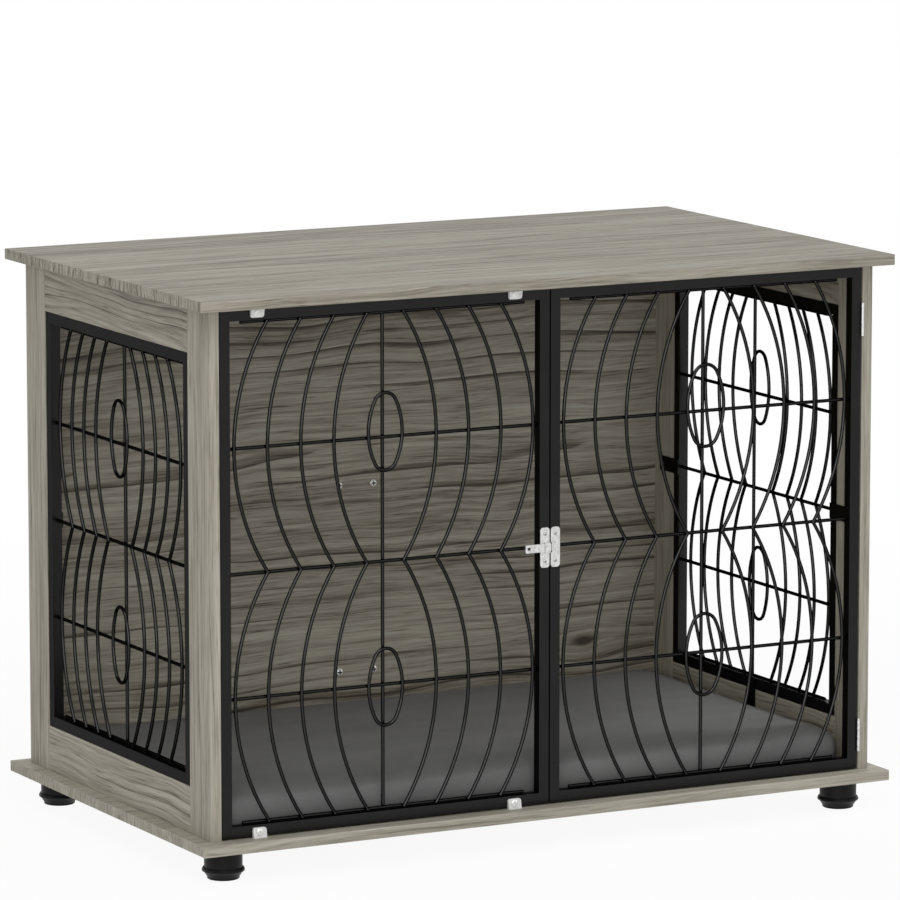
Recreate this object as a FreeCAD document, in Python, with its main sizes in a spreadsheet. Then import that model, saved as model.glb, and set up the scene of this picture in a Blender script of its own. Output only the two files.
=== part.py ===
import FreeCAD, Part
import math
import os
import re

import Sketcher

# Furniture-style pet crate: wooden carcass, steel grilles, a fixed front panel and a hinged door.
# The origin is on the floor under the middle of the crate, +Z up, the door side towards -Y.

doc = FreeCAD.newDocument("PetCrate")

# Driving dimensions in millimetres, and shares without a unit
SIZES = {
    # top and base boards
    "board_width": 1080,
    "board_depth": 645,
    "board_thickness": 15,
    "board_edge_radius": 1.2,
    "interior_height": 724.5,
    # side walls, set in from the boards' edges
    "side_overhang": 21.5,
    "front_overhang": 25,
    "wall_thickness": 16,
    "member_width": 65,
    "member_edge_radius": 0.6,
    # back panel in rabbets, with a batten behind it
    "panel_thickness": 9,
    "rabbet_depth": 8,
    "panel_top_gap": 0.6,
    "panel_side_gap": 0.4,
    "batten_width": 90,
    "batten_thickness": 15,
    # dowels
    "dowel_radius": 4,
    "dowel_length": 30,
    "dowel_in_board": 10,
    "dowel_fit": 0.05,
    "dowel_end_gap": 0.4,
    # steel frames of square tube
    "tube_size": 15,
    "tube_wall": 1.2,
    "grille_setback": 1,
    "grille_fit": 0.8,
    "panel_clearance": 2.4,
    "fixed_side_gap": 0.8,
    "meeting_offset": 1.3,
    "middle_gap": 2,
    # wires of the grilles
    "wire_radius": 2.5,
    "weld_depth": 0.5,
    "wire_depth": 5,
    "bead_share": 1.12,
    "end_rod_inset": 20,
    "front_arc_start_share": 0.1186,
    "front_arc_pitch_share": 0.2119,
    "front_arc_bulge_share": 0.2119,
    "side_arc_start_share": 0.1754,
    "side_arc_pitch_share": 0.1846,
    "side_arc_bulge_share": 0.1823,
    "ring_height": 106.5,
    "ring_width": 51.5,
    "ring_end_radius": 17.5,
    "door_ring_height": 115.5,
    "door_ring_width": 58,
    "door_ring_end_radius": 20,
    "upper_ring_rise": 8,
    "lower_ring_drop": 2.5,
    # flat tabs that hold the side grilles
    "tab_length": 54,
    "tab_width": 22,
    "tab_thickness": 2,
    "tab_screw_inset": 10,
    # corner clips of the fixed panel
    "clip_width": 19.5,
    "clip_height": 14,
    "clip_depth": 6,
    "clip_thickness": 2,
    "clip_rim": 1.8,
    "clip_corner_radius": 3,
    "clip_inset": 55,
    "clip_screw_height": 7.5,
    "clip_peg_radius": 2,
    "clip_peg_length": 9,
    # screws
    "pan_head_radius": 4.8,
    "pan_head_height": 2.5,
    "pan_shank_radius": 1.75,
    "pan_shank_length": 12,
    "small_head_radius": 2.5,
    "small_head_height": 1.4,
    "small_shank_radius": 1.3,
    "small_shank_length": 8,
    "flat_head_radius": 2.5,
    "flat_head_height": 0.9,
    "flat_shank_radius": 1.5,
    "flat_shank_length": 9,
    "foot_screw_length": 26,
    "back_screw_length": 20,
    "head_drum_share": 0.5,
    "head_crown_share": 0.68,
    "recess_depth_share": 0.55,
    "recess_width_share": 0.22,
    "recess_span_share": 1.1,
    "screw_fit": 0.05,
    "screw_tip_gap": 0.5,
    # back panel fixings
    "batten_screw_spacing": 56,
    "batten_screw_low": 87.5,
    "batten_screw_high": 364.5,
    "edge_screw_inset": 80,
    # door hinges
    "hinge_height": 45.5,
    "hinge_low": 28,
    "hinge_high": 54.5,
    "leaf_width": 13,
    "leaf_thickness": 1,
    "leaf_gap": 0.5,
    "knuckle_radius": 2.2,
    "knuckle_end_gap": 0.3,
    "knuckle_clearance": 0.35,
    "pin_radius": 1,
    "pin_fit": 0.05,
    "pin_head_height": 0.8,
    "leaf_screw_low_share": 0.2,
    "leaf_screw_high_share": 0.8,
    # slide latch
    "latch_plate_width": 14.4,
    "latch_plate_height": 56,
    "latch_plate_thickness": 1.2,
    "latch_corner_radius": 4.5,
    "latch_screw_inset": 9,
    "bolt_width": 11.4,
    "bolt_thickness": 2,
    "bolt_tab": 24.3,
    "bolt_reach": 1.7,
    "bolt_corner_radius": 2.5,
    "bolt_clearance": 0.3,
    "bolt_hole_radius": 2.4,
    "bolt_hole_inset": 5.5,
    "bridge_length": 8,
    "bridge_wall": 1.2,
    # feet
    "foot_height": 42.5,
    "foot_inset": 53,
    "foot_radius": 26.2,
    "foot_ring_radius": 29.2,
    "foot_ring_height": 6.5,
    "foot_ring_bevel": 2.2,
    "foot_neck_height": 27,
    "foot_lip_radius": 22.2,
    "foot_lip_height": 3,
    "foot_edge_bevel": 1,
    "foot_recess_radius": 8,
    "foot_recess_depth": 28,
    # floor cushion
    "cushion_thickness": 57,
    "cushion_side_gap": 2,
    "cushion_front_gap": 5,
    "cushion_corner_radius": 24,
    "cushion_pull_in": 4,
    "cushion_edge_inset": 9,
    "cushion_crown": 5,
    "cushion_floor_gap": 0.3,
    # one overrun for every cut
    "overrun": 1,
}

# Sizes that follow from the driving dimensions
DERIVED = {
    "base_under": "foot_height",
    "base_top": "base_under + board_thickness",
    "top_under": "base_top + interior_height",
    "middle_height": "base_top + interior_height / 2",
    "wall_outer": "board_width / 2 - side_overhang",
    "wall_inner": "wall_outer - wall_thickness",
    "wall_middle": "wall_outer - wall_thickness / 2",
    "carcass_half_depth": "board_depth / 2 - front_overhang",
    "opening_half_depth": "carcass_half_depth - member_width",
    "member_middle": "carcass_half_depth - member_width / 2",
    "back_face": "carcass_half_depth - panel_thickness",
    "panel_half_width": "wall_inner + rabbet_depth - panel_side_gap",
    # frames
    "fixed_left": "-wall_inner + fixed_side_gap",
    "fixed_right": "meeting_offset - middle_gap / 2",
    "fixed_panel_width": "fixed_right - fixed_left",
    "door_left": "fixed_right + middle_gap",
    "door_right": "wall_inner - 2 * leaf_thickness - leaf_gap",
    "door_width": "door_right - door_left",
    "front_low": "base_top + panel_clearance",
    "front_height": "interior_height - 2 * panel_clearance",
    "side_half_width": "opening_half_depth - grille_fit",
    "side_low": "base_top + member_width + grille_fit",
    "side_height": "interior_height - 2 * member_width - 2 * grille_fit",
    "front_face": "-carcass_half_depth",
    "side_face": "wall_outer - grille_setback",
    # wires, measured from the middle of their frame and in from its outer face
    "rod_depth": "wire_depth + 2 * wire_radius - weld_depth",
    "spine_depth": "rod_depth + 2 * wire_radius - weld_depth",
    "fixed_half_inside": "fixed_panel_width / 2 - tube_size",
    "door_half_inside": "door_width / 2 - tube_size",
    "side_half_inside": "side_half_width - tube_size",
    "front_chord": "front_height / 2 - tube_size - wire_radius * bead_share",
    "side_chord": "side_height / 2 - tube_size - wire_radius * bead_share",
    # hinges
    "hinge_x": "wall_inner - leaf_thickness - leaf_gap / 2",
    "hinge_y": "front_face - knuckle_radius - knuckle_clearance",
    "upper_hinge_low": "top_under - hinge_high - hinge_height",
    "lower_hinge_low": "base_top + hinge_low",
    "knuckle_length": "hinge_height / 3",
    "leaf_screw_y": "front_face + leaf_width / 2",
    # latch
    "plate_front": "front_face - latch_plate_thickness",
    "bolt_back": "plate_front - bolt_clearance",
    "bolt_front": "bolt_back - bolt_thickness",
    "bridge_front": "bolt_front - bolt_clearance - bridge_wall",
    "slot_half_height": "bolt_width / 2 + bolt_clearance",
    "bridge_half_height": "slot_half_height + bridge_wall",
    "plate_left": "fixed_right - latch_plate_width",
    "bolt_length": "bolt_tab + latch_plate_width + bolt_reach",
    "keeper_right": "door_left + latch_plate_width",
    # feet
    "foot_x": "board_width / 2 - foot_inset",
    "foot_y": "board_depth / 2 - foot_inset",
    "foot_ring_top": "foot_height - foot_neck_height",
    "foot_ring_low": "foot_ring_top - foot_ring_height",
    "foot_screw_radius": "pan_shank_radius + screw_fit",
}
# The arcs of each grille spread over half of its inside width
for grille, kind in (("fixed", "front"), ("door", "front"), ("side", "side")):
    for measure in ("start", "pitch", "bulge"):
        DERIVED[f"{grille}_arc_{measure}"] = f"{grille}_half_inside * {kind}_arc_{measure}_share"
    DERIVED[f"{grille}_arc_radius"] = f"{kind}_chord^2 / (8 * {grille}_arc_bulge) + {grille}_arc_bulge / 2"
    DERIVED[f"{grille}_arc_angle"] = f"asin({kind}_chord / 2 / {grille}_arc_radius)"
# An oval ring has two tight ends and two slack sides, which run into each other without a corner
for ring in ("ring", "door_ring"):
    end, reach = f"{ring}_end_radius", f"{ring}_end_reach"
    DERIVED[reach] = f"{ring}_height / 2 - {end}"
    DERIVED[f"{ring}_side_radius"] = (
        f"({reach}^2 + {ring}_width^2 / 4 - {end}^2) / ({ring}_width - 2 * {end})")
    DERIVED[f"{ring}_side_reach"] = f"{ring}_side_radius - {ring}_width / 2"
    DERIVED[f"{ring}_side_angle"] = f"atan({reach} / {ring}_side_reach)"
    DERIVED[f"{ring}_end_angle"] = f"90 deg - {ring}_side_angle"


def fill_sheet(name, cells):
    """A spreadsheet with one named cell per row."""
    sheet = doc.addObject("Spreadsheet::Sheet", name)
    for row, (alias, content) in enumerate(cells, 1):
        sheet.set(f"A{row}", alias)
        sheet.set(f"B{row}", content)
        sheet.setAlias(f"B{row}", alias)
    return sheet


def formula(text):
    """A formula in plain names, with the sheet of each name put before it."""
    def with_sheet(found):
        word = found.group(0)
        if word in SIZES:
            return "Sizes." + word
        if word in DERIVED:
            return "Derived." + word
        return word
    return re.sub(r"[A-Za-z_]\w*", with_sheet, text)


sizes = fill_sheet("Sizes", [(name, str(value)) for name, value in SIZES.items()])
doc.recompute()
derived = fill_sheet("Derived", [(name, "=" + formula(text)) for name, text in DERIVED.items()])
doc.recompute()

# Turns that lay a piece's own +Z along a direction
ALONG = {
    "+Z": FreeCAD.Rotation(),
    "-Z": FreeCAD.Rotation(FreeCAD.Vector(1, 0, 0), 180),
    "+X": FreeCAD.Rotation(FreeCAD.Vector(0, 1, 0), 90),
    "-X": FreeCAD.Rotation(FreeCAD.Vector(0, 1, 0), -90),
    "+Y": FreeCAD.Rotation(FreeCAD.Vector(1, 0, 0), -90),
    "-Y": FreeCAD.Rotation(FreeCAD.Vector(1, 0, 0), 90),
}
OPPOSITE = {"+X": "-X", "-X": "+X", "+Y": "-Y", "-Y": "+Y", "+Z": "-Z", "-Z": "+Z"}
# Turns from the front wall's own directions to each wall that has a grille
WALL_TURN = {
    "front": FreeCAD.Rotation(),
    "left": FreeCAD.Rotation(FreeCAD.Vector(0, 0, 1), -90),
    "right": FreeCAD.Rotation(FreeCAD.Vector(0, 0, 1), 90),
}
# The direction that leads out of the crate through each wall
WALL_OUT = {"front": "-Y", "left": "-X", "right": "+X"}
# Turns of a tube about its frame's depth, by the side of the frame that it forms
TUBE_TURNS = {"bottom": 0, "right": -90, "top": 180, "left": 90}
# What the two upright tubes are called where a frame stands in a side wall
UPRIGHT_NAMES = {
    "front": {"left": "left", "right": "right"},
    "left": {"left": "back", "right": "front"},
    "right": {"left": "front", "right": "back"},
}

# An edge counts as running along an axis from this share of its length on
ALIGNED_SHARE = 0.999

pieces = []


def finish(piece, label):
    """Names a finished piece, which is then checked and written."""
    piece.Label = label
    pieces.append(piece)
    return piece


def bind(thing, **formulas):
    """Ties properties of an object to formulas."""
    for name, text in formulas.items():
        thing.setExpression(name, formula(text))
    return thing


def place(thing, point, turn=None):
    """Puts an object's own origin at a point, after an optional turn."""
    if turn is not None:
        thing.Placement = FreeCAD.Placement(FreeCAD.Vector(), turn)
    for axis, text in zip("xyz", point):
        thing.setExpression(f"Placement.Base.{axis}", formula(text))
    return thing


def box(name, size, corner):
    """A block from its lowest corner."""
    block = doc.addObject("Part::Box", name)
    bind(block, Length=size[0], Width=size[1], Height=size[2])
    return place(block, corner)


def rod(name, radius, length, start, direction):
    """A round bar from the middle of one end."""
    bar = doc.addObject("Part::Cylinder", name)
    bind(bar, Radius=radius, Height=length)
    return place(bar, start, ALONG[direction])


def shifted(point, direction, distance):
    """A point moved along a direction by a formula."""
    sign, axis = direction[0], "XYZ".index(direction[1])
    moved = list(point)
    moved[axis] = f"{point[axis]} {sign} ({distance})"
    return tuple(moved)


def bore(name, radius, depth, seat, direction):
    """A round cutter that starts a little before the seat and goes in to a depth."""
    start = shifted(seat, OPPOSITE[direction], "overrun")
    return rod(name, radius, f"{depth} + overrun", start, direction)


def group(name, members):
    """Separate solids held together as one object."""
    bundle = doc.addObject("Part::Compound", name)
    bundle.Links = members
    return bundle


def copy_of(master, name, point, turn=None):
    """A copy of a master piece at a point."""
    return place(group(name, [master]), point, turn)


def cut(name, solid, cutters):
    """A solid with cutters taken out of it; the cutters don't touch each other."""
    result = doc.addObject("Part::Cut", name)
    result.Base = solid
    result.Tool = group(name + "_cutters", cutters)
    return result


def join(name, solids):
    """Solids welded or formed into one."""
    result = doc.addObject("Part::MultiFuse", name)
    result.Shapes = solids
    return result


def outline(body, plane, points):
    """A closed sketch of straight lines on one of a body's own planes, each corner tied to two formulas."""
    sketch = body.newObject("Sketcher::SketchObject", body.Name + "_sketch")
    support = [feature for feature in body.Origin.OriginFeatures if feature.Role == plane]
    sketch.AttachmentSupport = [(support[0], "")]
    sketch.MapMode = "FlatFace"
    count = len(points)
    corners = [FreeCAD.Vector(math.cos(turn), math.sin(turn), 0)
               for turn in (2 * math.pi * n / count for n in range(count))]
    for n in range(count):
        sketch.addGeometry(Part.LineSegment(corners[n], corners[(n + 1) % count]))
    for n in range(count):
        sketch.addConstraint(Sketcher.Constraint("Coincident", n, 2, (n + 1) % count, 1))
    for n, corner in enumerate(points):
        for kind, axis, text in zip(("DistanceX", "DistanceY"), (-2, -1), corner):
            if text == "0":
                sketch.addConstraint(Sketcher.Constraint("PointOnObject", n, 1, axis))
            else:
                number = sketch.addConstraint(Sketcher.Constraint(kind, -1, 1, n, 1, float(sizes.overrun)))
                sketch.setExpression(f"Constraints[{number}]", formula(text))
    return sketch


def edges_along(shape, axis):
    """Names of a shape's straight edges that run along an axis."""
    names = []
    for number, edge in enumerate(shape.Edges, 1):
        span = edge.Vertexes[-1].Point - edge.Vertexes[0].Point
        if span.Length and abs(span.normalize()[axis]) > ALIGNED_SHARE:
            names.append(f"Edge{number}")
    return names


def prism(name, plane, points, length, radius, round_axes=(0, 1, 2)):
    """A straight-sided outline padded to a length, with the edges along the given axes rounded."""
    body = doc.addObject("PartDesign::Body", name)
    pad = body.newObject("PartDesign::Pad", name + "_pad")
    pad.Profile = outline(body, plane, points)
    bind(pad, Length=length)
    doc.recompute()
    rounding = body.newObject("PartDesign::Fillet", name + "_rounding")
    rounding.Base = (pad, [edge for axis in round_axes for edge in edges_along(pad.Shape, axis)])
    bind(rounding, Radius=radius)
    return body


def rectangle(width, height):
    """The corners of a rectangle from the origin."""
    return [("0", "0"), (width, "0"), (width, height), ("0", height)]


def board(name, size, corner, radius):
    """A board with softened edges, from its lowest corner."""
    return place(prism(name, "XY_Plane", rectangle(size[0], size[1]), size[2], radius), corner)


def signed(sign, text):
    """A formula on one side of the middle."""
    return f"{sign} * ({text})"


def on_wall(wall, along, height, depth):
    """A point on a wall: along it, up, and in from the outer face of its grille."""
    if wall == "front":
        return along, f"front_face + ({depth})", height
    if wall == "left":
        return f"-side_face + ({depth})", f"-({along})", height
    return f"side_face - ({depth})", along, height


# Screws: masters with the head on +Z and the shank down -Z, its seat at the origin
def pan_screw(name, kind, length):
    """A round-headed screw with a cross recess."""
    drum = rod(name + "_drum", f"{kind}_head_radius", f"{kind}_head_height * head_drum_share",
               ("0", "0", "0"), "+Z")
    crown = doc.addObject("Part::Cone", name + "_crown")
    bind(crown, Radius1=f"{kind}_head_radius", Radius2=f"{kind}_head_radius * head_crown_share",
         Height=f"{kind}_head_height * (1 - head_drum_share)")
    place(crown, ("0", "0", f"{kind}_head_height * head_drum_share"))
    span = f"{kind}_head_radius * recess_span_share"
    width = f"{kind}_head_radius * recess_width_share"
    depth = f"{kind}_head_height * recess_depth_share"
    low = f"{kind}_head_height - {depth}"
    tall = f"{depth} + overrun"
    slots = [
        box(name + "_slot_a", (span, width, tall), (f"-({span}) / 2", f"-({width}) / 2", low)),
        box(name + "_slot_b", (width, span, tall), (f"-({width}) / 2", f"-({span}) / 2", low)),
    ]
    driven = doc.addObject("Part::Cut", name + "_driven")
    driven.Base = join(name + "_head", [drum, crown])
    driven.Tool = join(name + "_cross", slots)
    shank = rod(name + "_shank", f"{kind}_shank_radius", length, ("0", "0", "0"), "-Z")
    return join(name, [driven, shank])


def flat_screw(name):
    """A countersunk screw, its head's flat top at the origin."""
    head = doc.addObject("Part::Cone", name + "_head")
    bind(head, Radius1="flat_shank_radius", Radius2="flat_head_radius", Height="flat_head_height")
    place(head, ("0", "0", "-flat_head_height"))
    shank = rod(name + "_shank", "flat_shank_radius", "flat_shank_length - flat_head_height",
                ("0", "0", "-flat_head_height"), "-Z")
    return join(name, [head, shank])


wood_screw = pan_screw("wood_screw", "pan", "pan_shank_length")
small_screw = pan_screw("small_screw", "small", "small_shank_length")
foot_screw = pan_screw("foot_screw", "pan", "foot_screw_length")
back_screw = pan_screw("back_screw", "pan", "back_screw_length")
hinge_screw = flat_screw("hinge_screw")


def fixed_by(master, kind, name, length, seat, direction):
    """One screw driven along a direction from its seat, and the bore that it needs."""
    screw = copy_of(master, name, seat, ALONG[OPPOSITE[direction]])
    hole = bore(name + "_bore", f"{kind}_shank_radius + screw_fit", f"{length} + screw_tip_gap",
                seat, direction)
    return screw, hole


# Dowels between boards and stiles, and between rails and stiles
SIDES = {"left": -1, "right": 1}
ENDS = {"front": -1, "back": 1}
board_dowels = []
rail_dowels = []
board_dowel_bores = {}
rail_dowel_bores = {}
for side, sx in SIDES.items():
    for end, sy in ENDS.items():
        x, y = signed(sx, "wall_middle"), signed(sy, "member_middle")
        for level, seat, into_board in (("top", "top_under", "+Z"), ("base", "base_top", "-Z")):
            start = shifted((x, y, seat), into_board, "dowel_in_board")
            dowel_name = f"{side}_{end}_{level}_dowel"
            board_dowels.append(rod(dowel_name, "dowel_radius", "dowel_length", start, OPPOSITE[into_board]))
            board_dowel_bores[side, end, level] = rod(
                dowel_name + "_bore", "dowel_radius + dowel_fit", "dowel_length + 2 * dowel_end_gap",
                shifted(start, into_board, "dowel_end_gap"), OPPOSITE[into_board])
        for level, height in (("top", "top_under - member_width / 2"),
                              ("base", "base_top + member_width / 2")):
            outward = "+Y" if sy > 0 else "-Y"
            joint = (x, signed(sy, "opening_half_depth"), height)
            start = shifted(joint, outward, "dowel_length / 2")
            dowel_name = f"{side}_{end}_{level}_rail_dowel"
            rail_dowels.append(rod(dowel_name, "dowel_radius", "dowel_length", start, OPPOSITE[outward]))
            rail_dowel_bores[side, end, level] = rod(
                dowel_name + "_bore", "dowel_radius + dowel_fit", "dowel_length + 2 * dowel_end_gap",
                shifted(start, outward, "dowel_end_gap"), OPPOSITE[outward])

# Tabs on the inside of the side grilles: where each lies, and the screw at its free end
tab_screws = []
tab_bores = {}
tabs = {}
for side in SIDES:
    turn = WALL_TURN[side]
    tabs[side] = []
    tab_depth = "tube_size"
    reach = "tab_length - tab_screw_inset - tube_size"
    for spot, along, height, width, tall, screw_along, screw_height in (
            ("left", "-side_half_width + tube_size - tab_length", "middle_height - tab_width / 2",
             "tab_length", "tab_width", f"-side_half_width - ({reach})", "middle_height"),
            ("right", "side_half_width - tube_size", "middle_height - tab_width / 2",
             "tab_length", "tab_width", f"side_half_width + {reach}", "middle_height"),
            ("top", "-tab_width / 2", "side_low + side_height - tube_size",
             "tab_width", "tab_length", "0", f"side_low + side_height + {reach}"),
            ("base", "-tab_width / 2", "side_low + tube_size - tab_length",
             "tab_width", "tab_length", "0", f"side_low - ({reach})")):
        member = UPRIGHT_NAMES[side].get(spot, spot)
        tab_name = f"{side}_{member}_tab"
        plate = box(tab_name + "_plate", (width, "tab_thickness", tall), ("0", "0", "0"))
        seat = on_wall(side, screw_along, screw_height, f"{tab_depth} + tab_thickness")
        screw, hole = fixed_by(wood_screw, "pan", tab_name + "_screw", "pan_shank_length",
                               seat, WALL_OUT[side])
        lying = copy_of(plate, tab_name, on_wall(side, along, height, tab_depth), turn)
        tabs[side].append(cut(tab_name + "_drilled", lying, [hole]))
        tab_screws.append(screw)
        tab_bores[side, member] = hole

# Clips of the fixed panel: a tray on the panel's face, with a short foot and a peg in the board's hole
clip_shape = prism("clip_shape", "YZ_Plane", rectangle("2 * clip_height", "clip_width"), "clip_depth",
                   "clip_corner_radius", round_axes=(0,))
place(clip_shape, ("0", "-clip_height", "0"))
clip_tray = join("clip_tray", [
    box("clip_upright", ("clip_thickness", "clip_height", "clip_width"), ("0", "0", "0")),
    box("clip_foot", ("clip_depth", "clip_thickness", "clip_width"), ("0", "0", "0")),
])
rims = []
for rim, offset in (("near", "0"), ("far", "clip_width - clip_rim")):
    gusset = doc.addObject("Part::Wedge", f"clip_{rim}_rim")
    bind(gusset, Xmin="0", Xmax="clip_depth", X2min="0", X2max="clip_depth / 2",
         Ymin="0", Ymax="clip_height", Zmin="0", Zmax="clip_rim", Z2min="0", Z2max="clip_rim")
    rims.append(place(gusset, ("0", "0", offset)))
clip_blank = join("clip_blank", [clip_tray] + rims)
clip_rounded = doc.addObject("Part::MultiCommon", "clip_rounded")
clip_rounded.Shapes = [clip_blank, clip_shape]
clip_peg = rod("clip_peg", "clip_peg_radius", "clip_peg_length + clip_thickness",
               ("clip_depth / 2", "clip_thickness", "clip_width / 2"), "-Y")
clip_solid = cut("clip_master", join("clip_pegged", [clip_rounded, clip_peg]), [
    bore("clip_bore", "pan_shank_radius + screw_fit", "clip_thickness + overrun",
         ("0", "clip_screw_height", "clip_width / 2"), "+X"),
])
FORWARD = FreeCAD.Vector(0, -1, 0)
CLIP_TURN = {
    "base": FreeCAD.Rotation(FORWARD, FreeCAD.Vector(0, 0, 1), FreeCAD.Vector(-1, 0, 0), "XYZ"),
    "top": FreeCAD.Rotation(FORWARD, FreeCAD.Vector(0, 0, -1), FreeCAD.Vector(1, 0, 0), "XYZ"),
}
clips = []
clip_screws = []
clip_panel_bores = {"base": [], "top": []}
clip_board_bores = {"base": [], "top": []}
for level, surface, up, sign in (("base", "base_top", "+", 1), ("top", "top_under", "-", -1)):
    for spot, middle in (("left", "fixed_left + clip_inset"), ("right", "fixed_right - clip_inset")):
        clip_name = f"{level}_{spot}_clip"
        corner = (f"{middle} + {sign} * clip_width / 2", "front_face", surface)
        clips.append(copy_of(clip_solid, clip_name, corner, CLIP_TURN[level]))
        face_seat = (middle, "front_face - clip_thickness", f"{surface} {up} clip_screw_height")
        screw, hole = fixed_by(wood_screw, "pan", clip_name + "_screw", "pan_shank_length",
                               face_seat, "+Y")
        clip_screws.append(screw)
        clip_panel_bores[level].append(hole)
        clip_board_bores[level].append(bore(
            clip_name + "_peg_hole", "clip_peg_radius + screw_fit", "clip_peg_length + screw_tip_gap",
            (middle, "front_face - clip_depth / 2", surface), "-Z" if up == "+" else "+Z"))

# Feet: turned shape with a recess below for the screw that goes up into the base board
foot_screws = []
foot_bores = []
FOOT_OUTLINE = [
    ("foot_screw_radius", "foot_height"),
    ("foot_radius", "foot_height"),
    ("foot_radius", "foot_ring_top"),
    ("foot_ring_radius - foot_ring_bevel / 2", "foot_ring_top"),
    ("foot_ring_radius", "foot_ring_top - foot_ring_bevel"),
    ("foot_ring_radius", "foot_ring_low + foot_ring_bevel"),
    ("foot_radius", "foot_ring_low"),
    ("foot_lip_radius", "foot_lip_height"),
    ("foot_lip_radius", "foot_edge_bevel"),
    ("foot_lip_radius - foot_edge_bevel", "0"),
    ("foot_recess_radius", "0"),
    ("foot_recess_radius", "foot_recess_depth"),
    ("foot_screw_radius", "foot_recess_depth"),
]
for side, sx in SIDES.items():
    for end, sy in ENDS.items():
        foot_name = f"{end}_{side}_foot"
        foot = doc.addObject("PartDesign::Body", foot_name)
        turned = foot.newObject("PartDesign::Revolution", foot_name + "_turned")
        profile = outline(foot, "XZ_Plane", FOOT_OUTLINE)
        turned.Profile = profile
        turned.ReferenceAxis = (profile, ["V_Axis"])
        x, y = signed(sx, "foot_x"), signed(sy, "foot_y")
        place(foot, (x, y, "0"))
        finish(foot, foot_name)
        screw, hole = fixed_by(foot_screw, "pan", foot_name + "_screw", "foot_screw_length",
                               (x, y, "foot_recess_depth"), "+Z")
        foot_screws.append(screw)
        foot_bores.append(hole)

# Back panel fixings: four screws from inside into the batten, three from behind along each edge
batten_screws = []
batten_bores = []
for column, sx in SIDES.items():
    for row in ("low", "high"):
        seat = (signed(sx, "batten_screw_spacing / 2"), "back_face", f"base_top + batten_screw_{row}")
        screw, hole = fixed_by(back_screw, "pan", f"batten_{column}_{row}_screw", "back_screw_length",
                               seat, "+Y")
        batten_screws.append(screw)
        batten_bores.append(hole)
edge_screws = []
edge_bores = {"left": [], "right": []}
for side, sx in SIDES.items():
    for row, height in (("low", "base_top + edge_screw_inset"), ("middle", "middle_height"),
                        ("high", "top_under - edge_screw_inset")):
        seat = (signed(sx, "wall_inner + rabbet_depth / 2"), "carcass_half_depth", height)
        screw, hole = fixed_by(back_screw, "pan", f"edge_{side}_{row}_screw", "back_screw_length",
                               seat, "-Y")
        edge_screws.append(screw)
        edge_bores[side].append(hole)

# Door hinges at the right front stile
hinge_post_screws = []
hinge_door_screws = []
hinge_post_bores = []
hinge_door_bores = []
for hinge in ("upper", "lower"):
    low = f"{hinge}_hinge_low"
    axis = ("hinge_x", "hinge_y")
    half_gap = "knuckle_end_gap / 2"
    knuckles = {"post": [], "door": []}
    clearances = {"post": [], "door": []}
    for number, owner in enumerate(("post", "door", "post")):
        other = {"post": "door", "door": "post"}[owner]
        start = f"{low} + {number} * knuckle_length"
        under, over = (half_gap if inside else "0" for inside in (number > 0, number < 2))
        knuckles[owner].append(rod(
            f"{hinge}_knuckle_{number}", "knuckle_radius", f"knuckle_length - {under} - {over}",
            (*axis, f"{start} + {under}"), "+Z"))
        under, over = (half_gap if inside else "overrun" for inside in (number > 0, number < 2))
        clearances[other].append(rod(
            f"{hinge}_room_{number}", "knuckle_radius + knuckle_clearance",
            f"knuckle_length + {under} + {over}", (*axis, f"{start} - {under}"), "+Z"))
    for owner, leaf_x, screw_x, drive, screws, bores in (
            ("post", "wall_inner - leaf_thickness", "wall_inner - leaf_thickness", "+X",
             hinge_post_screws, hinge_post_bores),
            ("door", "door_right", "door_right + leaf_thickness", "-X",
             hinge_door_screws, hinge_door_bores)):
        leaf_name = f"{hinge}_hinge_{owner}_leaf"
        plate = box(leaf_name + "_plate",
                    ("leaf_thickness", "front_face + leaf_width - hinge_y", "hinge_height"),
                    (leaf_x, "hinge_y", low))
        notched = cut(leaf_name + "_notched", plate, clearances[owner])
        rolled = join(leaf_name + "_rolled", [notched] + knuckles[owner])
        openings = [rod(leaf_name + "_pin_bore", "pin_radius + pin_fit", "hinge_height + 2 * overrun",
                        (*axis, f"{low} - overrun"), "+Z")]
        for spot in ("low", "high"):
            seat = (screw_x, "leaf_screw_y", f"{low} + hinge_height * leaf_screw_{spot}_share")
            screw_name = f"{leaf_name}_{spot}_screw"
            screw, hole = fixed_by(hinge_screw, "flat", screw_name, "flat_shank_length", seat, drive)
            screws.append(screw)
            bores.append(hole)
            sink = doc.addObject("Part::Cone", screw_name + "_sink")
            bind(sink, Radius1="flat_head_radius + screw_fit", Radius2="flat_shank_radius + screw_fit",
                 Height="flat_head_height")
            place(sink, seat, ALONG[drive])
            openings.append(join(screw_name + "_cutter", [sink, hole]))
        finish(cut(leaf_name, rolled, openings), leaf_name)
    pin_name = f"{hinge}_hinge_pin"
    finish(join(pin_name, [
        rod(pin_name + "_shaft", "pin_radius", "hinge_height", (*axis, low), "+Z"),
        rod(pin_name + "_foot", "knuckle_radius", "pin_head_height", (*axis, low), "-Z"),
        rod(pin_name + "_head", "knuckle_radius", "pin_head_height", (*axis, f"{low} + hinge_height"), "+Z"),
    ]), pin_name)
finish(group("hinge_post_screws", hinge_post_screws), "hinge_post_screws")
finish(group("hinge_door_screws", hinge_door_screws), "hinge_door_screws")

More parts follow.
